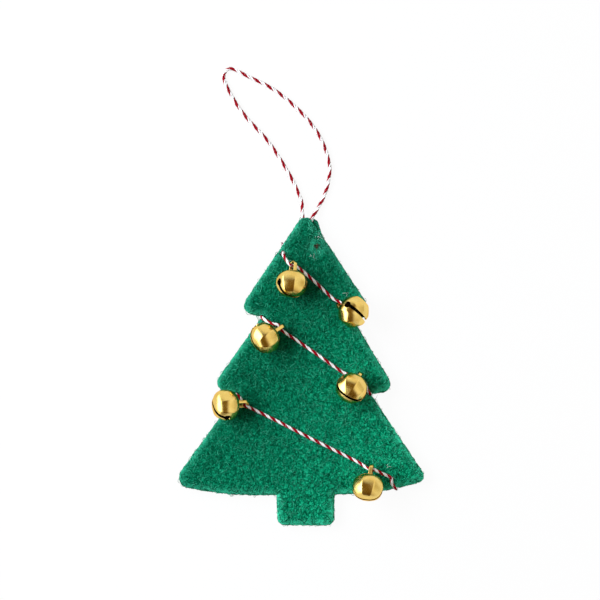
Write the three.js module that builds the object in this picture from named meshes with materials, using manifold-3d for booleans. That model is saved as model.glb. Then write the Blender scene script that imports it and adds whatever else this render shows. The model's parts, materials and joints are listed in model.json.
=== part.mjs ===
import * as THREE from 'three';
import { mergeVertices } from 'three/addons/utils/BufferGeometryUtils.js';
import Module from 'manifold-3d';

// A felt Christmas tree ornament with a garland of twine and six jingle bells, lying on its back.
// Millimetres: +X is to the right and +Y to the treetop as seen from the front, +Z points out of the front.
// The origin is on the back face, midway up the tree.

// Clearances
const fitGap = 0.3; // between pieces that fit in, round or beside each other
const restGap = 0.3; // between a bell and the felt that it lies on
const overrun = 0.5; // how far a cutter reaches past what it cuts
const weldDistance = 1e-4;
const tolerance = 1e-6;

// Felt tree: two layers of the same outline, but for the tip of the back one, which shows past the front
const treeWidth = 98;
const treeHeight = 122.8;
const feltLayer = 2.5;
const feltEdgeRound = 0.75;
const cornerRadius = 3.5;
const backShiftRight = 0.5; // how far the back layer shows past the front one
const backShiftDown = 0.4;
const cornerStep = 24; // degrees of turn for each facet of a rounded corner
const feltBevelSteps = 2;

// Corners of each layer's tip, and of the outline on from there, clockwise: shares of the width, the height
// and the corner radius
const frontTipShares = [[0.020, 0.520, 0.86]];
const backTipShares = [
  [0.022, 0.506, 0.86],
  [0.064, 0.494, 0.5],
  [0.0835, 0.443, 0],
];
const outlineShares = [
  [0.294, 0.190, 1.11],
  [0.206, 0.176, 0],
  [0.386, -0.062, 1],
  [0.282, -0.073, 0],
  [0.516, -0.353, 0.77],
  [0.337, -0.393, 23],
  [0.133, -0.401, 0],
  [0.131, -0.501, 0.74],
  [-0.094, -0.501, 0.8],
  [-0.097, -0.403, 0],
  [-0.298, -0.402, 28],
  [-0.528, -0.371, 1.14],
  [-0.259, -0.075, 0],
  [-0.365, -0.057, 1.03],
  [-0.155, 0.179, 0],
  [-0.254, 0.195, 1],
];

// Twine
const twineDiameter = 1.4;
const twineSides = 8;
const twinePress = 0.15; // how deep it is pulled into the front face
const twineInset = 0.15; // how far inside the back face it runs
const groundGap = 0.05; // under the twine that lies on the ground
const stepsPerPoint = 2;

// Bells: brass shells folded shut round a steel pellet, each with a strip eyelet through its crown
const bellDiameter = 12.6;
const bellHeight = 10.2;
const bellWall = 0.4;
const bellFacets = 20;
const slotWaist = 1.1;
const slotMouth = 2.2; // the slot's width where it would reach the widest part of the shell
const slotHoleDiameter = 2.8;
const slotHoleDrop = 0.5; // from the widest part of the shell towards the slotted end
const slotHoleFacets = 12;
const eyeletHole = 2.6;
const eyeletStrip = 0.65;
const eyeletBand = 0.9;
const eyeletStand = 2.9; // from the middle of the hole to the crown
const eyeletTail = 0.45; // what reaches in past the crown
const eyeletArcSteps = 9;
const dimpleRoom = 0.6; // round an eyelet that is pressed into the felt
const pelletDiameter = 3.3;
const pelletFacets = 12;

// Half of the shell's section, from the crown to the slotted end: shares of its radius and half height
const shellProfileShares = [
  [0, -1],
  [0.5, -0.96],
  [0.72, -0.84],
  [0.88, -0.62],
  [0.975, -0.32],
  [1, 0],
  [0.965, 0.27],
  [0.86, 0.54],
  [0.66, 0.79],
  [0.36, 0.95],
  [0, 1],
];

// Hanging loop and the knot that holds it between the layers
const knotSpan = 4.2;
const knotHeight = 2.6;
const knotFacets = 12;
const needleHole = 1.2;
const loopSteps = 78;
const legSteps = 6;

// The bells down the garland: the places of their eyelets as shares of the tree's width and height, and,
// in degrees, the way they lie from there, how far they lean up, how they are rolled about their axis, and
// how far the slot is turned from the line of the eyelet's hole
const lyingLean = 21;
const raisedLean = 46;
const bellTable = [
  { placeShares: [-0.030, 0.343], heading: 266, lean: lyingLean, roll: -32, slotTurn: 0 },
  { placeShares: [0.167, 0.212], heading: -26, lean: raisedLean, roll: 215, slotTurn: -140 },
  { placeShares: [-0.083, 0.141], heading: 214, lean: lyingLean, roll: 0, slotTurn: 0 },
  { placeShares: [0.237, -0.018], heading: 237, lean: raisedLean, roll: 0, slotTurn: 0 },
  { placeShares: [-0.230, -0.106], heading: 183, lean: lyingLean, roll: 33, slotTurn: 0 },
  { placeShares: [0.288, -0.318], heading: 259, lean: lyingLean, roll: 10, slotTurn: 0 },
];

// The garland's route in stretches from eyelet to eyelet: shares of the tree's width and height, and a
// level, which is 0 in the back face, 1 between the layers, 2 on the front and 3 at a lying bell's eyelet.
// It starts in the left edge of the top tier and is tucked in behind the bottom edge.
const stretchShares = [
  [
    [-0.082, 0.425, 1], [-0.070, 0.408, 1], [-0.067, 0.397, 1], [-0.069, 0.388, 1.35],
    [-0.071, 0.383, 1.9], [-0.067, 0.374, 2.45], [-0.055, 0.358, 2.95], [-0.041, 0.345, 3.2],
  ],
  [
    [-0.019, 0.340, 2.8], [-0.007, 0.336, 2.5], [0.008, 0.326, 2.15], [0.027, 0.313, 2],
    [0.080, 0.275, 2], [0.135, 0.235, 2], [0.156, 0.226, 2.03], [0.167, 0.221, 2.16],
  ],
  [
    [0.167, 0.203, 1.84], [0.181, 0.190, 1.76], [0.198, 0.180, 1.72], [0.210, 0.174, 1.4],
    [0.211, 0.174, 0.75], [0.202, 0.174, 0.12], [0.182, 0.175, 0], [0.022, 0.176, 0],
    [-0.129, 0.177, 0], [-0.149, 0.177, 0.12], [-0.159, 0.177, 0.75], [-0.158, 0.176, 1.5],
    [-0.151, 0.170, 2], [-0.138, 0.163, 2.1], [-0.120, 0.156, 2.35], [-0.103, 0.152, 2.8],
    [-0.090, 0.150, 3],
  ],
  [
    [-0.076, 0.133, 3], [-0.065, 0.126, 2.8], [-0.050, 0.118, 2.4], [-0.033, 0.109, 2.1],
    [-0.014, 0.099, 2], [0.084, 0.045, 2], [0.180, -0.007, 2], [0.202, -0.012, 2], [0.225, -0.013, 2],
  ],
  [
    [0.248, -0.024, 2], [0.261, -0.038, 2], [0.271, -0.059, 1.95], [0.280, -0.071, 1.7],
    [0.287, -0.076, 1.2], [0.286, -0.076, 0.6], [0.276, -0.076, 0.1], [0.255, -0.075, 0],
    [0.010, -0.075, 0], [-0.231, -0.075, 0], [-0.253, -0.075, 0.1], [-0.264, -0.075, 0.7],
    [-0.262, -0.076, 1.45], [-0.254, -0.081, 2.05], [-0.244, -0.090, 2.4], [-0.237, -0.098, 2.85],
  ],
  [
    [-0.224, -0.114, 3.14], [-0.211, -0.117, 2.85], [-0.199, -0.122, 2.35], [-0.184, -0.128, 2.05],
    [-0.165, -0.135, 2], [0.039, -0.218, 2], [0.231, -0.295, 2.02], [0.249, -0.303, 2.2],
    [0.262, -0.310, 2.6], [0.275, -0.316, 2.94],
  ],
  [
    [0.301, -0.320, 3.06], [0.316, -0.326, 2.8], [0.332, -0.333, 2.4], [0.349, -0.339, 2.1],
    [0.362, -0.344, 2], [0.370, -0.350, 2], [0.372, -0.362, 2], [0.378, -0.373, 2],
    [0.387, -0.382, 1.85], [0.393, -0.385, 1.3], [0.392, -0.385, 0.55], [0.385, -0.380, 0.08],
    [0.371, -0.371, 0], [0.349, -0.360, 0], [0.320, -0.352, 0], [0.288, -0.349, 0],
  ],
];

// Heights that the sizes above set
const feltFront = 2 * feltLayer;
const twineRadius = twineDiameter / 2;
const onBack = twineRadius + twineInset;
const onFront = feltFront + twineRadius - twinePress;
const bellReach = eyeletStand + bellHeight / 2; // from the middle of the eyelet's hole to the bell's
const pelletRadius = pelletDiameter / 2;

// The hanging loop's route from the tip of the tree: millimetres across and up, and a level, which is 0 on
// the ground that the tree lies on and 1 between the layers of felt, where the two legs run to the knot
const tip = new THREE.Vector3(frontTipShares[0][0] * treeWidth, treeHeight / 2, 0);
const loopRoute = [
  [-0.72, -1.2, 1], [-1.0, 0.5, 1], [-1.2, 2.6, 0.8], [-1.32, 5.3, 0.3], [-1.8, 7.6, 0.06],
  [-2.6, 9.5, 0], [-5.1, 15.0, 0], [-7.9, 20.0, 0], [-11.1, 25.1, 0], [-14.8, 30.5, 0],
  [-18.9, 35.1, 0], [-23.2, 39.7, 0], [-27.2, 45.0, 0], [-30.2, 50.1, 0],
  [-31.8, 53.2, 0], [-32.6, 55.6, 0], [-32.7, 57.5, 0], [-31.7, 59.1, 0],
  [-30.0, 59.8, 0], [-28.2, 59.4, 0], [-26.0, 58.2, 0], [-21.3, 55.9, 0], [-16.6, 53.7, 0],
  [-10.7, 50.1, 0], [-4.9, 45.3, 0], [0.8, 39.6, 0], [5.9, 32.4, 0], [8.7, 25.4, 0],
  [9.8, 19.6, 0], [9.0, 13.4, 0], [7.6, 8.9, 0], [5.8, 5.2, 0.1], [4.0, 2.1, 0.5],
  [2.6, -0.4, 1], [2.35, -1.6, 1],
];
const leftLegRoute = [[4.2, -11.2, 1], [2.3, -8.6, 1], [0.4, -5.8, 1], [-0.5, -3.4, 1], [-0.67, -1.5, 1]];
const rightLegRoute = [[4.5, -11.2, 1], [4.2, -8.6, 1], [3.0, -6.0, 1], [2.2, -3.7, 1], [2.28, -1.9, 1]];
const knotPlace = new THREE.Vector3(4.4, -11.5, feltLayer);

const wasm = await Module();
wasm.setup();

// A closed geometry as a solid that can be joined and cut
function solid(geometry) {
  const bare = geometry.clone();
  bare.deleteAttribute('normal');
  bare.deleteAttribute('uv');
  const welded = mergeVertices(bare, weldDistance);
  const corners = welded.index.array;
  const triVerts = [];
  for (let i = 0; i < corners.length; i += 3) {
    const [a, b, c] = corners.slice(i, i + 3);
    if (a !== b && b !== c && c !== a) triVerts.push(a, b, c);
  }
  return new wasm.Manifold(new wasm.Mesh({
    numProp: 3,
    vertProperties: welded.attributes.position.array,
    triVerts: Uint32Array.from(triVerts),
  }));
}

function geometryOf(body) {
  const { vertProperties, triVerts } = body.getMesh();
  const geometry = new THREE.BufferGeometry();
  geometry.setAttribute('position', new THREE.BufferAttribute(vertProperties, 3));
  geometry.setIndex(new THREE.BufferAttribute(triVerts, 1));
  geometry.computeVertexNormals();
  return geometry;
}

// A curve whose steps are shared out by its points, so the bends, which have more points, get more steps
class Route extends THREE.CatmullRomCurve3 {
  getUtoTmapping(share) {
    return share;
  }
}

function polygon(radius, sides) {
  const points = [];
  for (let side = 0; side < sides; side += 1) {
    const angle = (2 * Math.PI * side) / sides;
    points.push(new THREE.Vector2(radius * Math.cos(angle), radius * Math.sin(angle)));
  }
  return new THREE.Shape(points);
}

function tube(route, radius, sides, steps) {
  const options = { extrudePath: route, steps, bevelEnabled: false };
  return new THREE.ExtrudeGeometry(polygon(radius, sides), options);
}

// The outline below a tip, with its corners rounded by arcs
function roundedOutline(tipShares) {
  const corners = [...tipShares, ...outlineShares].map(([x, y, r]) => ({
    at: new THREE.Vector2(x * treeWidth, y * treeHeight),
    radius: r * cornerRadius,
  }));
  const points = [];
  corners.forEach(({ at, radius }, i) => {
    if (radius === 0) {
      points.push(at);
      return;
    }
    const before = corners[(i + corners.length - 1) % corners.length].at;
    const after = corners[(i + 1) % corners.length].at;
    const coming = at.clone().sub(before).normalize();
    const going = after.clone().sub(at).normalize();
    const turn = Math.atan2(coming.cross(going), coming.dot(going));
    const run = radius * Math.tan(Math.abs(turn) / 2);
    const inward = new THREE.Vector2(-coming.y, coming.x).multiplyScalar(Math.sign(turn) * radius);
    const centre = at.clone().addScaledVector(coming, -run).add(inward);
    const first = inward.clone().negate();
    const steps = Math.max(2, Math.ceil(Math.abs(THREE.MathUtils.radToDeg(turn)) / cornerStep));
    for (let step = 0; step <= steps; step += 1) {
      points.push(first.clone().rotateAround(new THREE.Vector2(), (turn * step) / steps).add(centre));
    }
  });
  return new THREE.Shape(points);
}

function feltSheet(tipShares, x, y, z) {
  const sheet = new THREE.ExtrudeGeometry(roundedOutline(tipShares), {
    depth: feltLayer - 2 * feltEdgeRound,
    bevelThickness: feltEdgeRound,
    bevelSize: feltEdgeRound,
    bevelOffset: -feltEdgeRound,
    bevelSegments: feltBevelSteps,
  });
  return sheet.translate(x, y, z + feltEdgeRound);
}

// Half of the shell's section as points along and out from its axis, a given depth inside its outer face
function shellProfile(inset) {
  return shellProfileShares.map(([out, along]) => (
    new THREE.Vector2(along * (bellHeight / 2 - inset), out * (bellDiameter / 2 - inset))
  ));
}

// A bell's own frame: the middle of the eyelet's hole at the origin, the bell along +X, the twine along Y
function shellBody(inset) {
  const profile = shellProfile(inset).map(({ x, y }) => new THREE.Vector2(y, x));
  return solid(new THREE.LatheGeometry(profile, bellFacets).rotateZ(-Math.PI / 2).translate(bellReach, 0, 0));
}

// The slot across the slotted end: narrow at the waist, wider to each side, with a round hole at both ends
function slotCutter(turn) {
  const end = bellDiameter / 2 + overrun;
  const waist = slotWaist / 2;
  const mouth = slotMouth / 2;
  const bowTie = new THREE.Shape([
    new THREE.Vector2(-end, -mouth),
    new THREE.Vector2(0, -waist),
    new THREE.Vector2(end, -mouth),
    new THREE.Vector2(end, mouth),
    new THREE.Vector2(0, waist),
    new THREE.Vector2(-end, mouth),
  ]);
  const start = bellReach + slotHoleDrop;
  const depth = bellHeight / 2 - slotHoleDrop + overrun;
  const alongX = new THREE.Matrix4().makeBasis(
    new THREE.Vector3(0, 1, 0),
    new THREE.Vector3(0, 0, 1),
    new THREE.Vector3(1, 0, 0),
  );
  const slit = new THREE.ExtrudeGeometry(bowTie, { depth, bevelEnabled: false });
  slit.applyMatrix4(alongX).translate(start, 0, 0).rotateX(turn);
  const radius = slotHoleDiameter / 2;
  const holes = new THREE.CylinderGeometry(radius, radius, 2 * end, slotHoleFacets);
  return solid(slit).add(solid(holes.translate(start, 0, 0).rotateX(turn)));
}

// One of the two slits in the crown that the eyelet's legs pass through
function crownSlit(side) {
  const length = 2 * (bellWall + overrun);
  const slit = new THREE.BoxGeometry(length, eyeletBand + 2 * fitGap, eyeletStrip + 2 * fitGap);
  return solid(slit.translate(eyeletStand, 0, (side * (eyeletHole + eyeletStrip)) / 2));
}

function bellShell(slotTurn) {
  return geometryOf(shellBody(0)
    .subtract(shellBody(bellWall))
    .subtract(slotCutter(slotTurn))
    .subtract(crownSlit(1))
    .subtract(crownSlit(-1)));
}

// A flat strip bent to an arch round the twine
function bellEyelet() {
  const inner = eyeletHole / 2;
  const outer = inner + eyeletStrip;
  const end = eyeletStand + bellWall + eyeletTail;
  const arch = [];
  for (let step = 0; step <= eyeletArcSteps; step += 1) {
    arch.push(Math.PI / 2 + (Math.PI * step) / eyeletArcSteps);
  }
  const around = (radius, angle) => new THREE.Vector2(radius * Math.cos(angle), radius * Math.sin(angle));
  const outline = new THREE.Shape([
    new THREE.Vector2(end, outer),
    ...arch.map((angle) => around(outer, angle)),
    new THREE.Vector2(end, -outer),
    new THREE.Vector2(end, -inner),
    ...arch.reverse().map((angle) => around(inner, angle)),
    new THREE.Vector2(end, inner),
  ]);
  const strip = new THREE.ExtrudeGeometry(outline, { depth: eyeletBand, bevelEnabled: false });
  return strip.translate(0, 0, -eyeletBand / 2).rotateX(Math.PI / 2);
}

// How high a leaning bell's eyelet lies when the shell rests on the front of the felt
function eyeletHeight(lean) {
  const drops = shellProfile(0).map(({ x, y }) => y * Math.cos(lean) - x * Math.sin(lean));
  return feltFront + restGap + Math.max(...drops) - bellReach * Math.sin(lean);
}

// Where the pellet's centre comes to lie inside a leaning shell: along its axis and below it, as the lowest
// point that is clear of every wall of the section
function pelletRest(lean) {
  const profile = shellProfile(bellWall);
  const walls = profile.slice(1).map((point, i) => {
    const along = point.clone().sub(profile[i]).normalize();
    const normal = new THREE.Vector2(-along.y, along.x);
    return { normal, limit: normal.dot(point) - pelletRadius - fitGap };
  });
  const depth = (point) => point.y * Math.cos(lean) - point.x * Math.sin(lean);
  let lowest = new THREE.Vector2();
  walls.forEach((one, i) => walls.slice(i + 1).forEach((other) => {
    const area = one.normal.cross(other.normal);
    const meeting = new THREE.Vector2(
      (one.limit * other.normal.y - other.limit * one.normal.y) / area,
      (one.normal.x * other.limit - other.normal.x * one.limit) / area,
    );
    const clear = walls.every(({ normal, limit }) => normal.dot(meeting) <= limit + tolerance);
    if (clear && depth(meeting) > depth(lowest)) lowest = meeting;
  }));
  return lowest;
}

// The bells' poses, with angles in radians and the height that their lean gives the eyelet
const bells = bellTable.map(({ placeShares: [x, y], heading, lean, roll, slotTurn }) => {
  const radians = THREE.MathUtils.degToRad(lean);
  return {
    eyelet: new THREE.Vector3(x * treeWidth, y * treeHeight, eyeletHeight(radians)),
    heading: THREE.MathUtils.degToRad(heading),
    lean: radians,
    roll: THREE.MathUtils.degToRad(roll),
    slotTurn: THREE.MathUtils.degToRad(slotTurn),
  };
});

// Heights of the garland's levels, and the height of a level between or past them
const levels = [onBack, feltLayer, onFront, eyeletHeight(THREE.MathUtils.degToRad(lyingLean))];
function heightAt(level) {
  const below = Math.min(Math.floor(level), levels.length - 2);
  return THREE.MathUtils.lerp(levels[below], levels[below + 1], level - below);
}

function garlandRoute() {
  const points = stretchShares.flatMap((stretch, number) => [
    ...stretch.map(([x, y, level]) => new THREE.Vector3(x * treeWidth, y * treeHeight, heightAt(level))),
    ...(number < bells.length ? [bells[number].eyelet] : []),
  ]);
  return new Route(points);
}

// A route's points with one more past each end, for a channel that is longer than its twine
function lengthened(points) {
  const past = (end, next) => end.clone().sub(next).setLength(overrun).add(end);
  return [past(points[0], points[1]), ...points, past(points.at(-1), points.at(-2))];
}

function fromTip(route) {
  const ground = twineRadius + groundGap;
  return route.map(([x, y, level]) => (
    new THREE.Vector3(x, y, THREE.MathUtils.lerp(ground, feltLayer, level)).add(tip)
  ));
}

// The hollow that a bell's eyelet has pressed into the felt: the sweep of its arch about the twine
function eyeletDimple({ eyelet, heading, lean, roll }) {
  const radius = eyeletHole / 2 + eyeletStrip + dimpleRoom;
  const sweep = new THREE.CylinderGeometry(radius, radius, eyeletBand + 2 * fitGap, bellFacets);
  const pose = new THREE.Matrix4().makeRotationFromEuler(new THREE.Euler(roll, -lean, heading, 'ZYX'));
  return solid(sweep.applyMatrix4(pose.setPosition(eyelet)));
}

// The drawn-up knot with the two legs of the loop running out of it
function loopKnot() {
  const knot = new THREE.SphereGeometry(knotSpan / 2, knotFacets, knotFacets / 2).rotateX(Math.PI / 2);
  knot.scale(1, 1, knotHeight / knotSpan).translate(...knotPlace.clone().add(tip));
  const legs = [leftLegRoute, rightLegRoute].map((route) => (
    solid(tube(new THREE.CatmullRomCurve3(fromTip(route)), twineRadius, twineSides, legSteps))
  ));
  return legs.reduce((joined, leg) => joined.add(leg), solid(knot));
}

// The room that the twine, the knot and the pressed-in eyelets take in the felt
function feltCutters() {
  const garland = new Route(lengthened(garlandRoute().points));
  const channel = twineRadius + fitGap;
  const steps = stepsPerPoint * (garland.points.length - 1);
  const legs = [leftLegRoute, rightLegRoute, loopRoute].map((route) => {
    const curve = new THREE.CatmullRomCurve3(lengthened(fromTip(route)));
    return solid(tube(curve, channel, twineSides, route === loopRoute ? loopSteps : legSteps));
  });
  const pocketHeight = knotHeight + 2 * fitGap;
  const pocketRadius = knotSpan / 2 + fitGap;
  const pocket = new THREE.CylinderGeometry(pocketRadius, pocketRadius, pocketHeight, knotFacets);
  const holeDepth = feltFront - knotPlace.z + overrun;
  const hole = new THREE.CylinderGeometry(needleHole / 2, needleHole / 2, holeDepth, knotFacets);
  const place = knotPlace.clone().add(tip);
  return [
    solid(tube(garland, channel, twineSides, steps)),
    ...legs,
    solid(pocket.rotateX(Math.PI / 2).translate(...place)),
    solid(hole.rotateX(Math.PI / 2).translate(place.x, place.y, place.z + holeDepth / 2)),
    ...bells.map(eyeletDimple),
  ];
}

const materials = {
  felt: new THREE.MeshStandardMaterial({ color: 0x0c7350, roughness: 0.95, metalness: 0 }),
  twine: new THREE.MeshStandardMaterial({ color: 0xc9747c, roughness: 0.9, metalness: 0 }),
  brass: new THREE.MeshStandardMaterial({ color: 0xd4aa50, roughness: 0.2, metalness: 1 }),
  steel: new THREE.MeshStandardMaterial({ color: 0x9a9a9a, roughness: 0.3, metalness: 1 }),
};

function piece(name, geometry, material) {
  const mesh = new THREE.Mesh(geometry, material);
  mesh.name = name;
  return mesh;
}

function buildFelt() {
  const cutters = feltCutters();
  const cut = (sheet) => geometryOf(cutters.reduce((body, cutter) => body.subtract(cutter), solid(sheet)));
  const front = feltSheet(frontTipShares, 0, 0, feltLayer);
  const back = feltSheet(backTipShares, backShiftRight, -backShiftDown, 0);
  return [
    piece('felt_front_layer', cut(front), materials.felt),
    piece('felt_back_layer', cut(back), materials.felt),
  ];
}

function buildTwine() {
  const garland = garlandRoute();
  const steps = stepsPerPoint * (garland.points.length - 1);
  const loop = new THREE.CatmullRomCurve3(fromTip(loopRoute));
  return [
    piece('garland_twine', tube(garland, twineRadius, twineSides, steps), materials.twine),
    piece('hanging_loop', tube(loop, twineRadius, twineSides, loopSteps), materials.twine),
    piece('loop_knot', geometryOf(loopKnot()), materials.twine),
  ];
}

// One bell: the shell and eyelet rolled about the axis, and the loose pellet at the bottom of the shell
function buildBell({ eyelet, heading, lean, roll, slotTurn }, number) {
  const name = `bell_${number + 1}`;
  const rest = pelletRest(lean);
  const pellet = piece(
    `${name}_pellet`,
    new THREE.SphereGeometry(pelletRadius, pelletFacets, pelletFacets / 2),
    materials.steel,
  );
  pellet.position.set(bellReach + rest.x, 0, -rest.y);
  const rolled = new THREE.Group();
  rolled.rotation.x = roll;
  rolled.add(
    piece(`${name}_shell`, bellShell(slotTurn), materials.brass),
    piece(`${name}_eyelet`, bellEyelet(), materials.brass),
  );
  const bell = new THREE.Group();
  bell.position.copy(eyelet);
  bell.rotation.set(0, -lean, heading, 'ZYX');
  bell.add(rolled, pellet);
  return bell;
}

const ornament = new THREE.Group();
ornament.add(...buildFelt(), ...buildTwine(), ...bells.map(buildBell));

export default ornament;
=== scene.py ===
"""A felt Christmas tree ornament with a garland of twine and six jingle bells, lying on its back.

The object's lengths are in millimetres up to the point where a mesh is made, and what surrounds it is
placed in metres. +X is to the right and +Y to the treetop.
"""

import json
import math

import bpy
import numpy as np
from mathutils import Matrix, Vector, noise
from mathutils.bvhtree import BVHTree


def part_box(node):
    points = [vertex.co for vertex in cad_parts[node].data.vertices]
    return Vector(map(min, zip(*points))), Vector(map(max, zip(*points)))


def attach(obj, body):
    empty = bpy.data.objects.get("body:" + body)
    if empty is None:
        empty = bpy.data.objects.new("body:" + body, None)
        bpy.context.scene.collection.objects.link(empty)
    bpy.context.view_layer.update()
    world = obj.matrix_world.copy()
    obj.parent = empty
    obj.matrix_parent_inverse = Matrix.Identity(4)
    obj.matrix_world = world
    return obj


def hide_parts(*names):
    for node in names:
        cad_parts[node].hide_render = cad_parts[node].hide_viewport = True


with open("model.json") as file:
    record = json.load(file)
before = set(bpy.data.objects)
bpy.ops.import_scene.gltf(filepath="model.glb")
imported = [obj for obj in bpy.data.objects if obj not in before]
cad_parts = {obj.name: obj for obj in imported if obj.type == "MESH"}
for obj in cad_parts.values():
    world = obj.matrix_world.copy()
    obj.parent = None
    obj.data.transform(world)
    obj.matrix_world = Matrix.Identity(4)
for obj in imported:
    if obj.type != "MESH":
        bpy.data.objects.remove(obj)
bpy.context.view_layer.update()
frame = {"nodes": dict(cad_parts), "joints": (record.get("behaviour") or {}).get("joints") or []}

MM = 0.001
TINY = 1e-12
STORED = {joint["name"]: joint for joint in frame["joints"]}

# What the photograph takes in: its middle and how wide it is, on the front of the felt
VIEW_MIDDLE = (-0.2, 28.4)
VIEW_SPAN = 240
LENS = 210
SENSOR = 36

# Felt
TREE_WIDTH = 98
TREE_HEIGHT = 122.8
FELT_LAYER = 2.5
FELT_FRONT = 2 * FELT_LAYER
FELT_VOXEL = 0.42
FELT_WELD = 1e-3
FELT_SMOOTHING = 4
LUMP_HEIGHT = 0.16
LUMP_SIZE = 1.8
LUMP_STRETCH = (1, 1.5, 1)
LAYER_SHIFT = (17.3, 5.1, 0)  # so that the two layers' lumps differ
GRAIN_HEIGHT = 0.1
GRAIN_SIZE = 0.8
EDGE_SLOPE = 3.4  # how far in from its edge a layer's face slopes down
EDGE_DROP = 0.9
EDGE_POWER = 1.7
EDGE_SHEEN_REACH = 2.7  # how far in from its edge the felt is painted paler, a painted sheen
WALL_LEAN = 0.3  # the most that a face of a layer's cut edge leans
WALL_REACH = 0.25  # how far from mid height such a face is
SEAM_RISE = 0.4  # how far past the seam between the layers the lumps reach
# A painted pool of light on the felt, which makes it paler towards its lower right
PAINTED_LIGHT_SLOPE = (11.4, -8.4, 0.0)  # how fast the felt's painted light rises across and up the tree, per metre
PAINTED_LIGHT_RANGE = (-0.3, 0.62)  # where along that slope the painted light starts and stops to rise
PAINTED_LIGHT_TONES = (0.9, 1.99)

# The felt's loose fibres, of which a few stand well off it
FUZZ_FRONT_COUNT = 10500
FUZZ_BACK_COUNT = 9000
FUZZ_LENGTHS = (1.2, 4.2)
FUZZ_LIFTS = (0.03, 0.22)
FUZZ_STANDING_SHARE = 0.05
FUZZ_STANDING_LIFTS = (0.4, 0.9)
FUZZ_TURN = 1.9
FUZZ_RADII = (0.045, 0.09)
FUZZ_STEPS = 5
FUZZ_EDGE_SHARE = 1.8  # how much denser they are on the slopes and edges than on the flats
FUZZ_SLOPE = 0.85  # the least rise of a flat's normal
FUZZ_SEAM = 0.35  # how near the seam between the layers there are none on a face that lies flat
FUZZ_SEAM_SLOPE = 0.6
FUZZ_SHADES = (1.3, 1.7)
# how much paler a loose fibre near an edge is painted, a painted sheen
FUZZ_EDGE_SHEEN = 0.35
FUZZ_THICKNESS_SHARES = (0.8, 0.5)  # of a dark fibre, and what a pale one has more
FUZZ_GROUND = 0.1  # the lowest that any loose fibre lies

# Twine
TWINE_RADIUS = 0.7
TIGHT_RADIUS = 0.63  # where it is pulled tight on the tree
PLY_SHARE = 0.415  # of the twine's radius
PLIES = 4
GARLAND_CUT = 6  # steps of its route that the frayed end leaves bare
TWINE_STEP = 0.28
TWINE_PRESS = 0.15
TWINE_INSET = 0.15
GROUND_GAP = 0.05
ROUTE_STEPS = 24  # from each point of a route to the next, before it is spaced evenly
PLY_SIDES = 10
PLY_RIDGES = 5
PLY_RIDGE_SHARE = 0.07  # of the ply's radius
PLY_UNTWIST = 3  # how fast a ply's section turns against the twine's twist
RIDGE_TWIST = 1.7

# How many turns the plies have made at a few distances along a line
LOOP_TWIST = [(0, 0.65), (61.9, 10.62), (105.9, 18.62), (154.9, 27.2)]
GARLAND_TWIST = [(0, 0.65), (48.4, 10.54), (91.0, 19.58), (147.8, 29.38), (208.0, 41.76), (304.0, 61.35)]
KNOT_TWIST = [(0, 0), (56, 10)]

# The twine's hairs and the tufts at its ends, with how many hairs a millimetre has and their seeds
LOOP_HAIRS = {"pale": (1.0, 21), "red": (1.4, 22)}
GARLAND_HAIRS = {"pale": (1.1, 23), "red": (0.7, 24)}
HAIR_SIDES = 3
ASKEW = (0.31, 0.17, 0.93)  # a direction that no fibre follows
HAIR_STEPS = 5
HAIR_ROOT_SHARE = 0.9  # of the twine's radius
HAIR_LENGTHS = (0.5, 1.8)
HAIR_LIFTS = (0.05, 0.4)
HAIR_TURN = 1.2
HAIR_RADII = (0.012, 0.022)
TUFT_STEPS = 7
TUFT_LENGTH_SHARES = (0.4, 1)
TUFT_BEND_SHARE = 0.25
TUFT_RADII = (0.02, 0.035)

# Bells
BELL_RADIUS = 6.3
BELL_HALF_HEIGHT = 5.1
BELL_WALL = 0.4
EYELET_STAND = 2.9
BELL_REACH = EYELET_STAND + BELL_HALF_HEIGHT
SLOT_WAIST = 1.1
SLOT_MOUTH = 2.2
SLOT_HOLE = 2.8
SLOT_HOLE_DROP = 0.5
SLOT_STEPS = 41
HOLE_SIDES = 40
EYELET_HOLE = 2.6
EYELET_STRIP = 0.65
EYELET_BAND = 1.4
EYELET_TAIL = 0.45
EYELET_STEP = 0.16
EYELET_SIDES = 24
EYELET_BEND_STEPS = 33
EYELET_EDGE_POWER = 0.42  # under 1, so that the strip's section is a rectangle with rounded corners
LEG_FIT = 0.04
LEG_OVERRUN = 0.6
CUT_OVERRUN = 0.5
SHELL_STEP = 0.22
SHELL_SIDES = 112
FACETS = 8  # creases of the folded shell, from its crown to its slotted end
FACET_SHARE = 0.7
CREASE_STAND = 0.02  # how far the creases stand past the round form, as a share of the radius
FOLD_RISE = 1.4  # how fast the folds deepen from the crown on
FOLD_START = 1.3
DENT_SIZE = 3.6
DENT_DEPTH = 0.09
DENT_SHIFT = 9.7  # so that the bells' dents differ
SHARP_ANGLE = 38
INSIDE_FACING = 0.4  # how much a face of the shell's inside faces the middle of the bell, at least
PELLET_RADIUS = 1.65
PELLET_ROWS = 24
PELLET_SIDES = 32
PELLET_ROUND_SHARE = 0.985
PELLET_BUMP_SHARE = 0.03
PELLET_BUMP_SIZE = 0.625  # in pellet radii

# Each bell's heading, lean, roll and the turn of its slot, in degrees, with the seed of its folds and dents
BELLS = [
    (266, 21, -32, 0, 1.18),
    (-26, 46, 215, -140, 2),
    (214, 21, 0, 0, 3),
    (237, 46, 0, 0, 4),
    (183, 21, 33, 0, 5),
    (259, 21, 10, 0, 6),
]

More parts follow.
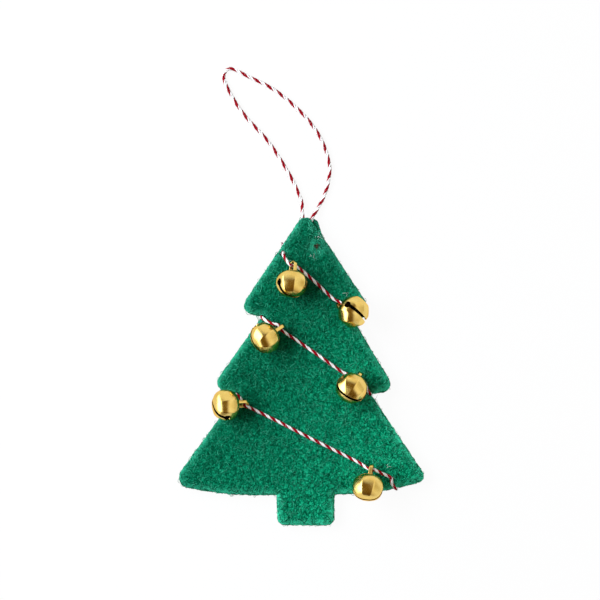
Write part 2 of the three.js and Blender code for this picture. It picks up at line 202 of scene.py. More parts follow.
# The room that lights the object: its colours from the left to the right and from the front to the back, by
# the share of the way, and how strongly they shine
ROOM_ACROSS = [
    (0.0, (2.6, 2.8, 3.0)), (0.14, (2.6, 2.8, 3.0)), (0.2, (0.12, 0.07, 0.01)), (0.55, (0.12, 0.07, 0.01)),
    (0.74, (0.68, 0.64, 0.58)), (0.86, (0.68, 0.66, 0.6)), (1.0, (0.4, 0.36, 0.26)),
]
ROOM_ALONG = [(0.0, (0.5, 0.45, 0.4)), (0.25, (1.0, 1.0, 1.0)), (1.0, (1.0, 1.0, 1.0))]
ROOM_BACK = [
    (0.0, (0.0, 0.0, 0.0)), (0.75, (0.0, 0.0, 0.0)), (0.93, (0.62, 0.59, 0.52)), (1.0, (0.66, 0.64, 0.57)),
]
ROOM_GLOSS = 1.6
ROOM_FILL = 0.5

# The lamps and the floor, in metres and watts
KEY_LAMP = {
    "place": (-0.55, 0.2, 0.52), "target": (0, 0.02, 0), "size": (0.7, 0.36), "power": 9.0,
    "colour": (0.96, 1.0, 1.08),
}
RIM_LAMP = {
    "place": (0.6, -0.1, 0.13), "target": (0, 0.02, 0), "size": (0.3, 0.1), "power": 1.4,
    "colour": (1.0, 1.0, 1.0),
}
FLOOR_SIDE = 2.4
FLOOR_MIDDLE = (0, 0.03, -0.00025)
FLOOR_GLOW_SHARE = 0.95  # how much of the floor's white, as the camera sees it, is its own

# Half of a shell's section: shares of its radius and half height, from the crown to the slotted end
SHELL_SHARES = [
    (0, -1), (0.5, -0.96), (0.72, -0.84), (0.88, -0.62), (0.975, -0.32),
    (1, 0), (0.965, 0.27), (0.86, 0.54), (0.66, 0.79), (0.36, 0.95), (0, 1),
]

# The garland between its eyelets: shares of the tree's width and height, and a level, which is 0 in the
# back face, 1 between the layers, 2 on the front and 3 at a lying bell's eyelet
GARLAND = [
    [
        (-0.082, 0.425, 1), (-0.070, 0.408, 1), (-0.067, 0.397, 1), (-0.069, 0.388, 1.35),
        (-0.071, 0.383, 1.9), (-0.067, 0.374, 2.45), (-0.055, 0.358, 2.95), (-0.041, 0.345, 3.2),
    ],
    [
        (-0.019, 0.340, 2.8), (-0.007, 0.336, 2.5), (0.008, 0.326, 2.15), (0.027, 0.313, 2),
        (0.080, 0.275, 2), (0.135, 0.235, 2), (0.156, 0.226, 2.03), (0.167, 0.221, 2.16),
    ],
    [
        (0.167, 0.203, 1.84), (0.181, 0.190, 1.76), (0.198, 0.180, 1.72), (0.210, 0.174, 1.4),
        (0.211, 0.174, 0.75), (0.202, 0.174, 0.12), (0.182, 0.175, 0), (0.022, 0.176, 0),
        (-0.129, 0.177, 0), (-0.149, 0.177, 0.12), (-0.159, 0.177, 0.75), (-0.158, 0.176, 1.5),
        (-0.151, 0.170, 2), (-0.138, 0.163, 2.1), (-0.120, 0.156, 2.35), (-0.103, 0.152, 2.8),
        (-0.090, 0.150, 3),
    ],
    [
        (-0.076, 0.133, 3), (-0.065, 0.126, 2.8), (-0.050, 0.118, 2.4), (-0.033, 0.109, 2.1),
        (-0.014, 0.099, 2), (0.084, 0.045, 2), (0.180, -0.007, 2), (0.202, -0.012, 2), (0.225, -0.013, 2),
    ],
    [
        (0.248, -0.024, 2), (0.261, -0.038, 2), (0.271, -0.059, 1.95), (0.280, -0.071, 1.7),
        (0.287, -0.076, 1.2), (0.286, -0.076, 0.6), (0.276, -0.076, 0.1), (0.255, -0.075, 0),
        (0.010, -0.075, 0), (-0.231, -0.075, 0), (-0.253, -0.075, 0.1), (-0.264, -0.075, 0.7),
        (-0.262, -0.076, 1.45), (-0.254, -0.081, 2.05), (-0.244, -0.090, 2.4), (-0.237, -0.098, 2.85),
    ],
    [
        (-0.224, -0.114, 3.14), (-0.211, -0.117, 2.85), (-0.199, -0.122, 2.35), (-0.184, -0.128, 2.05),
        (-0.165, -0.135, 2), (0.039, -0.218, 2), (0.231, -0.295, 2.02), (0.249, -0.303, 2.2),
        (0.262, -0.310, 2.6), (0.275, -0.316, 2.94),
    ],
    [
        (0.301, -0.320, 3.06), (0.316, -0.326, 2.8), (0.332, -0.333, 2.4), (0.349, -0.339, 2.1),
        (0.362, -0.344, 2), (0.370, -0.350, 2), (0.372, -0.362, 2), (0.378, -0.373, 2),
        (0.387, -0.382, 1.85), (0.393, -0.385, 1.3), (0.392, -0.385, 0.55), (0.385, -0.380, 0.08),
        (0.371, -0.371, 0), (0.349, -0.360, 0), (0.320, -0.352, 0), (0.288, -0.349, 0),
    ],
]

# The hanging loop and its two legs from the tip of the tree: millimetres across and up, and a level, which
# is 0 on the ground and 1 between the layers of felt
TIP = (0.020 * TREE_WIDTH, TREE_HEIGHT / 2, 0)
LOOP = [
    (-0.72, -1.2, 1), (-1.0, 0.5, 1), (-1.2, 2.6, 0.8), (-1.32, 5.3, 0.3), (-1.8, 7.6, 0.06),
    (-2.6, 9.5, 0), (-5.1, 15.0, 0), (-7.9, 20.0, 0), (-11.1, 25.1, 0), (-14.8, 30.5, 0),
    (-18.9, 35.1, 0), (-23.2, 39.7, 0), (-27.2, 45.0, 0), (-30.2, 50.1, 0),
    (-31.8, 53.2, 0), (-32.6, 55.6, 0), (-32.7, 57.5, 0), (-31.7, 59.1, 0),
    (-30.0, 59.8, 0), (-28.2, 59.4, 0), (-26.0, 58.2, 0), (-21.3, 55.9, 0), (-16.6, 53.7, 0),
    (-10.7, 50.1, 0), (-4.9, 45.3, 0), (0.8, 39.6, 0), (5.9, 32.4, 0), (8.7, 25.4, 0),
    (9.8, 19.6, 0), (9.0, 13.4, 0), (7.6, 8.9, 0), (5.8, 5.2, 0.1), (4.0, 2.1, 0.5),
    (2.6, -0.4, 1), (2.35, -1.6, 1),
]
LEFT_LEG = [(4.2, -11.2, 1), (2.3, -8.6, 1), (0.4, -5.8, 1), (-0.5, -3.4, 1), (-0.67, -1.5, 1)]
RIGHT_LEG = [(4.5, -11.2, 1), (4.2, -8.6, 1), (3.0, -6.0, 1), (2.2, -3.7, 1), (2.28, -1.9, 1)]
NEEDLE_HOLE = (6.4, 49.9, FELT_FRONT - 0.5)
# Pale fibres laid at a few pale flecks on the front of the felt
PALE_FLECKS = [(6.8, 53.4), (7.7, 54.3), (5.0, 45.6), (18.4, 31.2), (35.0, -38.4)]
FLECK_FIBRES = 4
FLECK_SPREAD = 0.3
FLECK_LENGTHS = (0.6, 2.2)
FLECK_LIFTS = (0.1, 0.35)
FLECK_TURN = 1.6
FLECK_RADII = (0.03, 0.06)
FLECK_STEPS = 6
KNOT = (4.4, -11.5, FELT_LAYER)
KNOT_SPAN = 4.2
KNOT_HEIGHT = 2.6
KNOT_ENDS = (0.55, 0.45)  # where round its curl the knot's line starts and ends, in radians
KNOT_STEPS = 30


# Nodes and materials

class Nodes:
    """A node tree that grows one call at a time."""

    def __init__(self, tree):
        self.tree = tree

    def set(self, node, key, value):
        socket = node.inputs[key]
        if isinstance(value, bpy.types.NodeSocket):
            self.tree.links.new(value, socket)
        else:
            socket.default_value = value

    def add(self, kind, inputs=None, **settings):
        node = self.tree.nodes.new("ShaderNode" + kind)
        for key, value in settings.items():
            setattr(node, key, value)
        for key, value in (inputs or {}).items():
            self.set(node, key, value)
        return node

    def ramp(self, value, *stops):
        """A colour or grey from a value, by stops of (value, colour)."""
        node = self.add("ValToRGB", {"Fac": value})
        points = node.color_ramp.elements
        while len(points) < len(stops):
            points.new(0.5)
        for point, (at, colour) in zip(points, stops):
            point.position = at
            point.color = (*colour, 1) if hasattr(colour, "__len__") else (colour, colour, colour, 1)
        return node.outputs["Color"]

    def mix(self, share, first, second, how="MIX"):
        node = self.add("Mix", data_type="RGBA", blend_type=how)
        for key, value in ((0, share), (6, first), (7, second)):
            self.set(node, key, value)
        return node.outputs[2]


class Finish(Nodes):
    """A material's nodes, round its shader."""

    def __init__(self, name, **shader):
        self.material = bpy.data.materials.new(name)
        self.material.use_nodes = True
        super().__init__(self.material.node_tree)
        self.shader = self.tree.nodes["Principled BSDF"]
        for key, value in shader.items():
            self.set(self.shader, key.replace("_", " ").title().replace("Ior", "IOR"), value)
        self.place = self.add("TexCoord").outputs["Object"]

    def noise(self, size, detail, kind="FBM", distortion=0):
        """A noise whose features are about that many millimetres across."""
        scale = 1 / (size * MM)
        inputs = {"Vector": self.place, "Scale": scale, "Detail": detail, "Distortion": distortion}
        return self.add("TexNoise", inputs, noise_type=kind).outputs["Fac"]

    def bump(self, height, depth, strength=1.0):
        node = self.add("Bump", {"Height": height, "Distance": depth * MM, "Strength": strength})
        self.set(self.shader, "Normal", node.outputs["Normal"])
        return self


def felt_finish():
    """Matt green: curls of lighter fibres over dark gaps, with a painted sheen at its cut edges and painted
    light towards one corner.
    """
    finish = Finish("felt", roughness=0.95, sheen_weight=0.12, sheen_roughness=0.5, specular_ior_level=0.02)
    finish.set(finish.shader, "Sheen Tint", (0.0, 0.5, 0.3, 1))
    curls = finish.noise(1.1, 3, "RIDGED_MULTIFRACTAL", distortion=1.2)
    grain = finish.noise(0.7, 2, distortion=0.8)
    clouds = finish.noise(14, 2)
    colour = finish.ramp(
        grain, (0.36, (0.0, 0.055, 0.026)), (0.5, (0.0008, 0.130, 0.061)), (0.64, (0.008, 0.230, 0.120))
    )
    lighter = finish.mix(finish.ramp(curls, (0.45, 0.0), (1.0, 0.45)), colour, (0.025, 0.33, 0.18, 1))
    # painted sheen: the felt is painted paler towards its cut edges
    edge = finish.add("Attribute", attribute_name="edge").outputs["Fac"]
    wear_and_painted_sheen = finish.ramp(edge, (0.0, 0.0), (0.5, 0.3), (1.0, 0.85))
    worn_and_painted_sheen = finish.mix(wear_and_painted_sheen, lighter, (0.035, 0.42, 0.25, 1))
    tone = finish.ramp(clouds, (0.3, 0.9), (0.7, 1.1))
    toned = finish.mix(1.0, worn_and_painted_sheen, tone, "MULTIPLY")
    # painted light: the felt is painted paler towards its lower right
    lean = finish.add("VectorMath", {0: finish.place, 1: PAINTED_LIGHT_SLOPE}, operation="DOT_PRODUCT")
    painted_light = finish.add("MapRange", {
        "Value": lean.outputs["Value"], "From Min": PAINTED_LIGHT_RANGE[0], "From Max": PAINTED_LIGHT_RANGE[1],
        "To Min": PAINTED_LIGHT_TONES[0], "To Max": PAINTED_LIGHT_TONES[1],
    })
    finish.set(finish.shader, "Base Color", finish.mix(1.0, toned, painted_light.outputs[0], "MULTIPLY"))
    heights = finish.mix(0.5, curls, grain)
    return finish.bump(heights, 0.35, 0.8).material


def fuzz_finish(name, *colours):
    """A finish for loose fibres, through its colours by the shade that each fibre carries."""
    finish = Finish(name, roughness=0.9, specular_ior_level=0.05)
    shade = finish.add("Attribute", attribute_name="shade").outputs["Fac"]
    stops = zip(np.linspace(0, 1, len(colours)), colours)
    finish.set(finish.shader, "Base Color", finish.ramp(shade, *stops))
    return finish.material


def yarn_finish(name, dark, light):
    finish = Finish(name, roughness=0.85, specular_ior_level=0.1)
    threads = finish.noise(0.22, 3, distortion=0.6)
    wear_and_painted_sheen = finish.noise(2.5, 2)
    colour = finish.ramp(threads, (0.3, dark), (0.62, light))
    worn_and_painted_sheen = finish.mix(1.0, colour, finish.ramp(wear_and_painted_sheen, (0.3, 0.92), (0.7, 1.0)), "MULTIPLY")
    finish.set(finish.shader, "Base Color", worn_and_painted_sheen)
    return finish.bump(threads, 0.06, 0.8).material


def brass_finish():
    """Bright lacquered plate, a little mottled and scuffed."""
    finish = Finish("brass", metallic=1.0, coat_weight=0.2, coat_roughness=0.2)
    finish.set(finish.shader, "Specular Tint", (1.0, 0.72, 0.35, 1))
    patches = finish.noise(3.5, 3)
    scuffs = finish.noise(0.25, 3, distortion=2.5)
    tints = finish.ramp(patches, (0.3, (0.78, 0.54, 0.14)), (0.65, (0.88, 0.66, 0.21)))
    finish.set(finish.shader, "Base Color", tints)
    wear_and_painted_sheen = finish.ramp(patches, (0.3, 0.20), (0.75, 0.30))
    both = finish.mix(0.5, wear_and_painted_sheen, finish.ramp(scuffs, (0.35, 0.16), (0.8, 0.36)))
    finish.set(finish.shader, "Roughness", both)
    return finish.bump(finish.mix(0.25, patches, scuffs), 0.07, 0.3).material


def shaded_inside_finish():
    """The unpolished inside of a shell, painted near-black as painted shade inside the bell."""
    finish = Finish("painted_shade_inside", metallic=1.0)
    shade_mottle = finish.noise(1.2, 3)
    colour = finish.ramp(shade_mottle, (0.3, (0.05, 0.02, 0.004)), (0.7, (0.12, 0.06, 0.012)))
    finish.set(finish.shader, "Base Color", colour)
    finish.set(finish.shader, "Roughness", finish.ramp(shade_mottle, (0.3, 0.5), (0.7, 0.75)))
    return finish.material


def steel_finish():
    finish = Finish("steel", metallic=1.0, base_color=(0.35, 0.34, 0.32, 1))
    finish.set(finish.shader, "Roughness", finish.ramp(finish.noise(0.6, 3), (0.3, 0.25), (0.8, 0.5)))
    return finish.bump(finish.noise(0.5, 2), 0.05, 0.4).material


FELT = felt_finish()
FELT_FUZZ = fuzz_finish("felt_fuzz", (0.0, 0.06, 0.028), (0.002, 0.16, 0.078), (0.06, 0.50, 0.31))
RED_FUZZ = fuzz_finish("red_fuzz", (0.14, 0.005, 0.010), (0.36, 0.02, 0.03))
PALE_FUZZ = fuzz_finish("pale_fuzz", (0.80, 0.80, 0.79), (0.95, 0.95, 0.94))
# reddish fibres, their dark tones painted shade of the needle's hole
HOLE_SHADE_FUZZ = fuzz_finish("hole_shade_fuzz", (0.03, 0.012, 0.010), (0.20, 0.045, 0.035))
TWINE_FUZZ = {"pale": PALE_FUZZ, "red": RED_FUZZ}
RED = yarn_finish("red_yarn", (0.14, 0.002, 0.006), (0.44, 0.008, 0.020))
WHITE = yarn_finish("white_yarn", (0.84, 0.83, 0.82), (0.97, 0.97, 0.96))
BRASS = brass_finish()
SHADED_INSIDE_BRASS = shaded_inside_finish()
STEEL = steel_finish()


# Lines and meshes

def unit(vectors):
    return vectors / np.maximum(np.linalg.norm(vectors, axis=-1, keepdims=True), TINY)


def angles_round(sides):
    return np.linspace(0, 2 * math.pi, sides, endpoint=False)


def smooth_line(points, step):
    """The centripetal Catmull-Rom curve through the points, as points a step apart."""
    p = np.array(points, float)
    p = np.vstack([2 * p[0] - p[1], p, 2 * p[-1] - p[-2]])
    gaps = np.linalg.norm(np.diff(p, axis=0), axis=1) ** 0.5
    t = np.linspace(0, 1, ROUTE_STEPS, endpoint=False)[:, None]
    runs = []
    for i in range(1, len(p) - 2):
        a, b, c, d = p[i - 1 : i + 3]
        before, here, after = gaps[i - 1 : i + 2]
        leaving = here * ((b - a) / before - (c - a) / (before + here) + (c - b) / here)
        coming = here * ((c - b) / here - (d - b) / (here + after) + (d - c) / after)
        square = 3 * (c - b) - 2 * leaving - coming
        runs.append(b + leaving * t + square * t**2 + (2 * (b - c) + leaving + coming) * t**3)
    return respaced(np.vstack([*runs, p[-2:-1]]), step)


def distances(line):
    """How far along a line each of its points is."""
    return np.concatenate([[0], np.cumsum(np.linalg.norm(np.diff(line, axis=0), axis=1))])


def respaced(line, step):
    along = distances(line)
    at = np.linspace(0, along[-1], max(2, round(along[-1] / step) + 1))
    return np.stack([np.interp(at, along, line[:, k]) for k in range(line.shape[1])], axis=1)


def carried_frames(line):
    """Two directions across a line at each of its points, which don't turn about it."""
    tangents = unit(np.gradient(line, axis=0))
    side = np.cross(tangents[0], (0.0, 0.0, 1.0))
    sides = []
    for tangent in tangents:
        side = unit(side - (side @ tangent) * tangent)
        sides.append(side)
    sides = np.array(sides)
    return sides, np.cross(tangents, sides)


def new_piece(name, points, faces, materials, slots=None):
    """An object from points in millimetres and arrays of quads and triangles."""
    mesh = bpy.data.meshes.new(name)
    points = np.asarray(points, float).reshape(-1, 3)
    corners = np.concatenate([np.ravel(f) for f in faces]).astype(np.int32)
    sizes = np.concatenate([np.full(len(f), np.shape(f)[1]) for f in faces])
    mesh.vertices.add(len(points))
    mesh.vertices.foreach_set("co", (points * MM).astype(np.float32).ravel())
    mesh.loops.add(len(corners))
    mesh.loops.foreach_set("vertex_index", corners)
    mesh.polygons.add(len(sizes))
    mesh.polygons.foreach_set("loop_start", np.concatenate([[0], np.cumsum(sizes)[:-1]]).astype(np.int32))
    mesh.update(calc_edges=True)
    mesh.validate()
    for material in materials:
        mesh.materials.append(material)
    if slots is not None:
        mesh.polygons.foreach_set("material_index", np.asarray(slots, np.int32))
    mesh.shade_smooth()
    piece = bpy.data.objects.new(name, mesh)
    bpy.context.scene.collection.objects.link(piece)
    return piece


def tube_faces(rings, sides, first=0):
    """Quads between the rings of a tube, and a fan over each end from two points that follow the rings."""
    ring, side = np.meshgrid(np.arange(rings - 1), np.arange(sides), indexing="ij")
    here, after = ring * sides + side, ring * sides + (side + 1) % sides
    quads = np.stack([here, after, after + sides, here + sides], -1).reshape(-1, 4)
    around = np.arange(sides)
    start, end = rings * sides, rings * sides + 1
    last = (rings - 1) * sides
    near = np.stack([np.full(sides, start), (around + 1) % sides, around], -1)
    far = np.stack([np.full(sides, end), last + around, last + (around + 1) % sides], -1)
    return quads + first, np.vstack([near, far]) + first


def tube(line, across, up, section):
    """Points of a tube with a section for each ring, closed by a point at each end."""
    rings = line[:, None] + section[..., :1] * across[:, None] + section[..., 1:] * up[:, None]
    return np.vstack([rings.reshape(-1, 3), line[:1], line[-1:]])


def strands(name, lines, radii, shades, material):
    """Thin fibres with pointed ends along lines of equally many points, as one piece."""
    count, steps = lines.shape[:2]
    tangents = unit(np.gradient(lines, axis=1))
    across = unit(np.cross(tangents, ASKEW))
    up = np.cross(tangents, across)
    angles = angles_round(HAIR_SIDES)
    inner = slice(1, steps - 1)
    ring = across[:, inner, None] * np.cos(angles)[:, None] + up[:, inner, None] * np.sin(angles)[:, None]
    rings = lines[:, inner, None] + ring * np.asarray(radii)[:, None, None, None]
    points = np.concatenate([rings.reshape(count, -1, 3), lines[:, :1], lines[:, -1:]], axis=1)
    quads, fans = tube_faces(steps - 2, HAIR_SIDES)
    offsets = (np.arange(count) * points.shape[1])[:, None, None]
    faces = [(quads + offsets).reshape(-1, 4), (fans + offsets).reshape(-1, 3)]
    piece = new_piece(name, points, faces, [material])
    shade = piece.data.attributes.new("shade", "FLOAT", "POINT")
    shade.data.foreach_set("value", np.repeat(shades, points.shape[1]).astype(np.float32))
    return piece


def curling_lines(starts, normals, lengths, turns, lifts, steps, random, surface=None):
    """Fibres that run along a surface in arcs and lift off it between their ends."""
    first = unit(np.cross(normals, random.normal(size=normals.shape)))
    second = np.cross(normals, first)
    share = np.linspace(0, 1, steps)
    angle = turns[:, None] * (share - 0.5)
    heading = np.cos(angle)[..., None] * first[:, None] + np.sin(angle)[..., None] * second[:, None]
    runs = heading * (lengths[:, None, None] / (steps - 1))
    lines = starts[:, None] + np.cumsum(runs, axis=1) - runs[:, :1]
    rise = (np.sin(math.pi * share) * lifts[:, None])[..., None]
    if surface is None:
        return lines + rise * normals[:, None]
    flat = lines.reshape(-1, 3)
    found = [surface.find_nearest(Vector(p))[:2] for p in flat]
    feet = np.array([place for place, _ in found]).reshape(lines.shape)
    out = np.array([normal for _, normal in found]).reshape(lines.shape)
    return feet + out * rise


def above_ground(lines):
    return np.maximum(lines, (-np.inf, -np.inf, FUZZ_GROUND))


def scattered(mesh, count, random, keep):
    """Random points spread evenly over a mesh, in millimetres, with their normals."""
    mesh.calc_loop_triangles()
    corners = np.empty(len(mesh.loop_triangles) * 3, np.int32)
    mesh.loop_triangles.foreach_get("vertices", corners)
    a, b, c = np.moveaxis(mesh_points(mesh)[corners.reshape(-1, 3)], 1, 0)
    cross = np.cross(b - a, c - a)
    middle = (a + b + c) / 3
    area = np.linalg.norm(cross, axis=1) * keep(middle, unit(cross))
    found = random.choice(len(area), count, p=area / area.sum())
    u, v = random.random((2, count, 1))
    u, v = np.where(u + v > 1, 1 - u, u), np.where(u + v > 1, 1 - v, v)
    places = a[found] + u * (b[found] - a[found]) + v * (c[found] - a[found])
    return places, unit(cross)[found]


def mesh_points(mesh):
    points = np.empty(len(mesh.vertices) * 3)
    mesh.vertices.foreach_get("co", points)
    return points.reshape(-1, 3) / MM


def surface_of(mesh):
    return BVHTree.FromPolygons(mesh_points(mesh).tolist(), [tuple(p.vertices) for p in mesh.polygons])


def applied(piece):
    """The piece with its modifiers applied."""
    graph = bpy.context.evaluated_depsgraph_get()
    mesh = bpy.data.meshes.new_from_object(piece.evaluated_get(graph))
    piece.modifiers.clear()
    piece.data = mesh
    return piece


def settle(piece, body, slot, *nodes):
    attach(piece, body)
    if nodes:
        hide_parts(*nodes)
    return piece


# Camera

def make_camera():
    camera = bpy.data.objects.new("camera", bpy.data.cameras.new("camera"))
    camera.data.lens = LENS
    camera.data.sensor_width = SENSOR
    height = FELT_FRONT + VIEW_SPAN * LENS / SENSOR
    camera.location = (VIEW_MIDDLE[0] * MM, VIEW_MIDDLE[1] * MM, height * MM)
    bpy.context.scene.collection.objects.link(camera)
    bpy.context.scene.camera = camera


# Twine

def from_tip(route):
    """The points of a route that starts from the tip, in the object's own frame."""
    ground = TWINE_RADIUS + GROUND_GAP
    return [(TIP[0] + x, TIP[1] + y, ground + (FELT_LAYER - ground) * level) for x, y, level in route]


def eyelet_of(number):
    """The middle of a bell's eyelet, about which it swings."""
    return np.array(STORED[f"bell_{number + 1}_swing"]["pos_m"]) / MM


def garland_points():
    heights = (
        TWINE_RADIUS + TWINE_INSET,
        FELT_LAYER,
        FELT_FRONT + TWINE_RADIUS - TWINE_PRESS,
        eyelet_of(0)[2],
    )
    points = []
    for number, stretch in enumerate(GARLAND):
        for x, y, level in stretch:
            low = min(int(level), len(heights) - 2)
            height = heights[low] + (heights[low + 1] - heights[low]) * (level - low)
            points.append((x * TREE_WIDTH, y * TREE_HEIGHT, height))
        if number < len(BELLS):
            points.append(tuple(eyelet_of(number)))
    return points


def twine(name, line, twist, thick=TWINE_RADIUS, bare=0):
    """Four twisted plies, two red and two white, round a line whose points are close together."""
    turns = np.interp(distances(line), *np.transpose(twist))[bare:]
    across, up = (way[bare:] for way in carried_frames(line))
    line = line[bare:]
    strand = PLY_SHARE * thick
    lay = thick - strand
    points, quads, fans = [], [], []
    for ply in range(PLIES):
        angle = 2 * math.pi * (turns + ply / PLIES)
        out = np.cos(angle)[:, None] * across + np.sin(angle)[:, None] * up
        middle = line + lay * out
        tangents = unit(np.gradient(middle, axis=0))
        out = unit(out - (out * tangents).sum(1, keepdims=True) * tangents)
        around = angles_round(PLY_SIDES) - PLY_UNTWIST * angle[:, None]
        ridges = np.cos(PLY_RIDGES * (around + RIDGE_TWIST * angle[:, None]))
        radius = strand * (1 + PLY_RIDGE_SHARE * ridges)
        section = np.stack([radius * np.cos(around), radius * np.sin(around)], -1)
        size = len(line) * PLY_SIDES + 2
        side_faces, end_faces = tube_faces(len(line), PLY_SIDES, ply * size)
        points.append(tube(middle, out, np.cross(tangents, out), section))
        quads.append(side_faces)
        fans.append(end_faces)
    white = np.arange(PLIES) >= PLIES / 2
    slots = np.concatenate([np.repeat(white, len(faces[0])) for faces in (quads, fans)])
    return new_piece(name, np.vstack(points), [np.vstack(quads), np.vstack(fans)], [RED, WHITE], slots)


def twine_fuzz(name, line, per_mm, seed, material):
    """Short hairs that stand off the twine."""
    random = np.random.default_rng(seed)
    across, up = carried_frames(line)
    count = int(per_mm * len(line) * TWINE_STEP)
    at = random.integers(2, len(line) - 2, count)
    angle = random.uniform(0, 2 * math.pi, count)[:, None]
    normals = np.cos(angle) * across[at] + np.sin(angle) * up[at]
    starts = line[at] + normals * TWINE_RADIUS * HAIR_ROOT_SHARE
    lines = curling_lines(
        starts, normals, random.uniform(*HAIR_LENGTHS, count), random.normal(0, HAIR_TURN, count),
        random.uniform(*HAIR_LIFTS, count), HAIR_STEPS, random,
    )
    radii = random.uniform(*HAIR_RADII, count)
    return strands(name, above_ground(lines), radii, random.random(count), material)


def twine_hairs(owner, line, table):
    return [
        settle(twine_fuzz(f"{owner}_hairs_{tone}", line, per_mm, seed, TWINE_FUZZ[tone]), "tree", "twine")
        for tone, (per_mm, seed) in table.items()
    ]


def tuft(name, place, direction, count, length, spread, seed, material, curl=1.6, base=0.16):
    """Loose hairs that leave one place, such as a cut end or a needle's hole."""
    random = np.random.default_rng(seed)
    way = unit(np.array(direction) + random.normal(0, spread, (count, 3)))
    starts = np.array(place) + random.normal(0, base, (count, 3))
    normals = unit(np.cross(way, random.normal(size=(count, 3))))
    share = np.linspace(0, 1, TUFT_STEPS)[None, :, None]
    lengths = length * random.uniform(*TUFT_LENGTH_SHARES, count)[:, None, None]
    bend = random.normal(0, curl, count)[:, None, None] * share**2 * lengths * TUFT_BEND_SHARE
    lines = starts[:, None] + way[:, None] * (share * lengths) + normals[:, None] * bend
    return strands(name, lines, random.uniform(*TUFT_RADII, count), random.random(count), material)


def make_loop():
    line = smooth_line(from_tip(LOOP), TWINE_STEP)
    loop = twine("loop_plies", line, LOOP_TWIST)
    settle(loop, "tree", "twine", "hanging_loop")
    hairs = twine_hairs("loop", line, LOOP_HAIRS)


def make_garland():
    line = smooth_line(garland_points(), TWINE_STEP)
    plies = twine("garland_plies", line, GARLAND_TWIST, TIGHT_RADIUS, GARLAND_CUT)
    settle(plies, "tree", "twine", "garland_twine")
    line = line[GARLAND_CUT:]
    twine_hairs("garland", line, GARLAND_HAIRS)
    end, way = line[0], unit(line[0] - line[3])
    tufts = [
        tuft("garland_end_red", end, way, 50, length=0.9, spread=0.35, seed=31, material=RED_FUZZ),
        tuft("garland_end_pale", end, way, 6, length=0.6, spread=0.35, seed=32, material=PALE_FUZZ),
        # reddish fibres over the needle's hole, darkened with painted shade of the hole
        tuft(
            "needle_fluff", NEEDLE_HOLE, (0.1, -0.1, 1), 90, length=1.2, spread=0.9, seed=33,
            material=HOLE_SHADE_FUZZ, curl=3.0, base=0.45,
        ),
    ]
    for hairs in tufts:
        settle(hairs, "tree", "twine")


def make_pale_flecks(felt):
    """A few pale fibres that cling to the front of the felt."""
    random = np.random.default_rng(51)
    starts = np.repeat([(x, y, FELT_FRONT) for x, y in PALE_FLECKS], FLECK_FIBRES, axis=0)
    starts = starts + random.normal(0, FLECK_SPREAD, starts.shape) * (1, 1, 0)
    count = len(starts)
    lines = curling_lines(
        starts, np.tile((0.0, 0.0, 1.0), (count, 1)), random.uniform(*FLECK_LENGTHS, count),
        random.normal(0, FLECK_TURN, count), random.uniform(*FLECK_LIFTS, count), FLECK_STEPS, random,
        surface_of(felt.data),
    )
    pale_flecks = strands("pale_flecks", lines, random.uniform(*FLECK_RADII, count), random.random(count), PALE_FUZZ)
    settle(pale_flecks, "tree", "felt")


def make_knot():
    """The drawn-up knot between the layers: one length of twine, in along one leg and out by the other."""
    turn = np.linspace(KNOT_ENDS[0], 2 * math.pi + KNOT_ENDS[1], KNOT_STEPS)
    reach = (KNOT_SPAN / 2 - TWINE_RADIUS) / 3  # a trefoil reaches three times as far
    rise = KNOT_HEIGHT / 2 - TWINE_RADIUS
    middle = np.array(TIP) + KNOT
    curl = np.stack([
        reach * (np.sin(turn) + 2 * np.sin(2 * turn)),
        reach * (np.cos(turn) - 2 * np.cos(2 * turn)),
        -rise * np.sin(3 * turn),
    ], axis=1) + middle
    left, right = from_tip(LEFT_LEG)[::-1], from_tip(RIGHT_LEG)
    line = smooth_line([*left[:-1], *curl, *right[1:]], TWINE_STEP)
    settle(twine("knot_plies", line, KNOT_TWIST), "tree", "twine", "loop_knot")


# Felt

